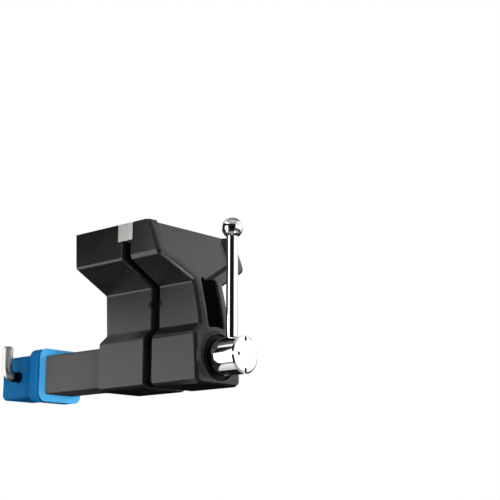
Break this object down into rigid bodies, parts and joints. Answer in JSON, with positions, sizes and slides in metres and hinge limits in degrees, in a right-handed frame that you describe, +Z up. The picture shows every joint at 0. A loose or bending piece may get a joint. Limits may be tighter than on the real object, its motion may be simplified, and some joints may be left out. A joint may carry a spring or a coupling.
{
  "type": "hitch-mounted vise",
  "caption": "Black cast bench vise on a square hitch shank, pinned in a blue receiver stub; the spindle and its bar handle move the front jaw.",
  "frame": {"origin": "middle of the receiver stub's rear face, on the axis of the shank and the spindle", "axes": "+Y from the handle to the receiver along the spindle, +Z up through the jaws, +X across the jaws"},
  "size_m": [0.1524, 0.421, 0.2022],
  "materials": {
    "black_casting": "fine textured black powder coat",
    "black_shank": "satin black powder coat",
    "jaw_steel": "ground hardened steel",
    "black_oxide": "black oxide",
    "dark_fastener": "oiled black steel",
    "bronze": "machined bronze",
    "bare_steel": "machined, lightly oiled",
    "blue_receiver": "semi-gloss blue paint",
    "chrome": "polished chrome plate",
    "pin_zinc": "bright zinc plate"
  },
  "bodies": {
    "base": {"static_jaw": "black_casting", "hitch_shank": "black_shank", "rear_jaw_plate": "jaw_steel", "rear_plate_screws": "dark_fastener", "rear_pipe_jaw": "black_oxide", "rear_pipe_screws": "dark_fastener", "spindle_nut": "bronze", "nut_screws": "dark_fastener", "receiver_tube": "blue_receiver", "receiver_collar": "blue_receiver"},
    "front_jaw": {"front_jaw": "black_casting", "slide_beam": "bare_steel", "beam_screws": "dark_fastener", "front_jaw_plate": "jaw_steel", "front_plate_screws": "dark_fastener", "front_pipe_jaw": "black_oxide", "front_pipe_screws": "dark_fastener", "spindle_bush": "bronze", "thrust_washer": "black_oxide"},
    "spindle": {"spindle_screw": "bare_steel", "spindle_head": "chrome", "head_pin": "dark_fastener", "retaining_collar": "dark_fastener", "collar_pin": "bare_steel", "stop_washer": "bare_steel", "end_screw": "dark_fastener"},
    "handle": {"handle_bar": "chrome", "handle_ball": "chrome", "handle_stop": "dark_fastener"},
    "hitch_pin": {"hitch_pin": "pin_zinc", "hitch_clip": "pin_zinc"}
  },
  "joints": [
    {"name": "jaw_slide", "type": "slide", "parent": "base", "child": "front_jaw", "axis": [0, -1, 0], "range_m": [0, 0.1461]},
    {"name": "spindle_turn", "type": "hinge", "parent": "front_jaw", "child": "spindle", "pos_m": [0, -0.377, 0], "axis": [0, -1, 0], "range_deg": [0, 8760]},
    {"name": "handle_slide", "type": "slide", "parent": "spindle", "child": "handle", "axis": [0, 0, -1], "range_m": [0, 0.115]},
    {"name": "hitch_pin_turn", "type": "hinge", "parent": "base", "child": "hitch_pin", "pos_m": [0, -0.034, 0], "axis": [1, 0, 0], "continuous": true}
  ],
  "couplings": [
    {"joint": "jaw_slide", "follows": "spindle_turn", "m_per_rad": 0.00095493}
  ]
}
